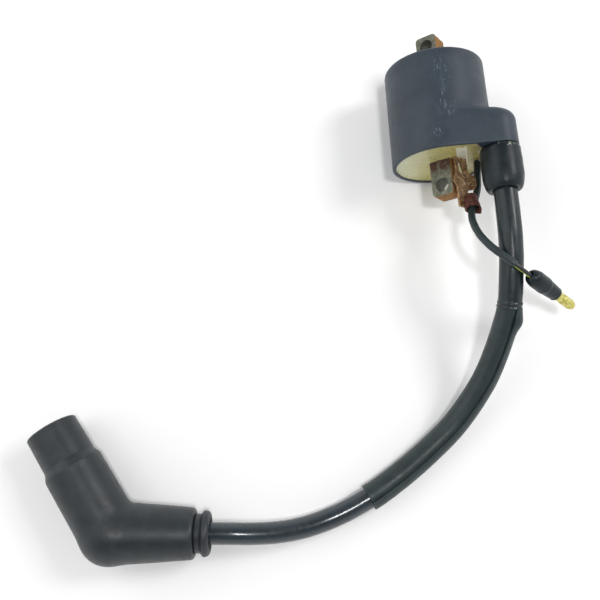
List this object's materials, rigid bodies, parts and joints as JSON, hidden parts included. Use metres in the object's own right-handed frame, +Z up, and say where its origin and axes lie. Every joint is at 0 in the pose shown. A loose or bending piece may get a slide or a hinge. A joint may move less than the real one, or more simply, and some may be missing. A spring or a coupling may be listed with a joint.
{
  "type": "ignition coil",
  "caption": "Potted ignition coil for a small engine, with a laminated core, a sleeved high-tension lead, an elbow spark-plug cap and a primary lead with a bullet terminal.",
  "frame": {"origin": "on the surface that the coil lies on, under the middle of the coil's own box, its leads and plug cap left out", "axes": "+Y along the core from the open, potted end to the closed end, +Z up from the surface, +X to the side of the lead tower"},
  "size_m": [0.2073, 0.1931, 0.0408],
  "materials": {
    "case_plastic": "matte slate-blue moulded plastic with light scuffs",
    "potting_resin": "cast olive-cream resin, satin",
    "lamination_steel": "grey-green varnished steel with rusty cut edges",
    "bobbin_plastic": "natural moulded plastic",
    "copper_wire": "enamelled copper wire",
    "coppered_steel": "tarnished copper-plated steel",
    "boot_rubber": "soft black rubber",
    "lead_insulation": "glossy black insulation",
    "sleeve_glossy": "semi-gloss dark sleeve",
    "sleeve_matte": "satin grey-green sleeve",
    "wire_insulation": "black wire with a yellow stripe",
    "brass": "bright turned brass",
    "cap_rubber": "finely textured black rubber with a soft sheen",
    "phenolic": "brown phenolic moulding",
    "resistor_ceramic": "plain ceramic",
    "spring_steel": "bright spring wire"
  },
  "bodies": {
    "coil": {"case": "case_plastic", "potting": "potting_resin", "core_laminations": "lamination_steel", "primary_bobbin": "bobbin_plastic", "primary_winding": "copper_wire", "secondary_bobbin": "bobbin_plastic", "secondary_winding": "copper_wire", "output_link": "brass", "tower_terminal": "brass", "earth_strap": "coppered_steel", "ht_lead": "lead_insulation", "ht_conductor": "copper_wire", "upper_sleeve": "sleeve_glossy", "lower_sleeve": "sleeve_matte", "primary_wire": "wire_insulation", "primary_sleeve": "sleeve_matte", "bullet_terminal": "brass"},
    "boot": {"tower_boot": "boot_rubber"},
    "connector_boot": {"connector_sleeve": "boot_rubber"},
    "plug_cap": {"cap_shell": "cap_rubber", "cable_seal": "cap_rubber", "plug_seal": "boot_rubber", "cap_insulator": "phenolic", "resistor": "resistor_ceramic", "resistor_spring": "spring_steel", "plug_terminal": "brass", "retaining_clip": "spring_steel", "cable_screw": "brass"}
  },
  "joints": [
    {"name": "boot_slide", "type": "slide", "parent": "coil", "child": "boot", "axis": [0, -1, 0], "range_m": [0, 0.007]},
    {"name": "connector_slide", "type": "slide", "parent": "coil", "child": "connector_boot", "axis": [0.731, -0.3805, -0.5664], "range_m": [0, 0.005]},
    {"name": "cap_swivel", "type": "hinge", "parent": "coil", "child": "plug_cap", "pos_m": [-0.1373, -0.1446, 0.0113], "axis": [0.9971, -0.0767, 0], "range_deg": [-90, 90]}
  ]
}
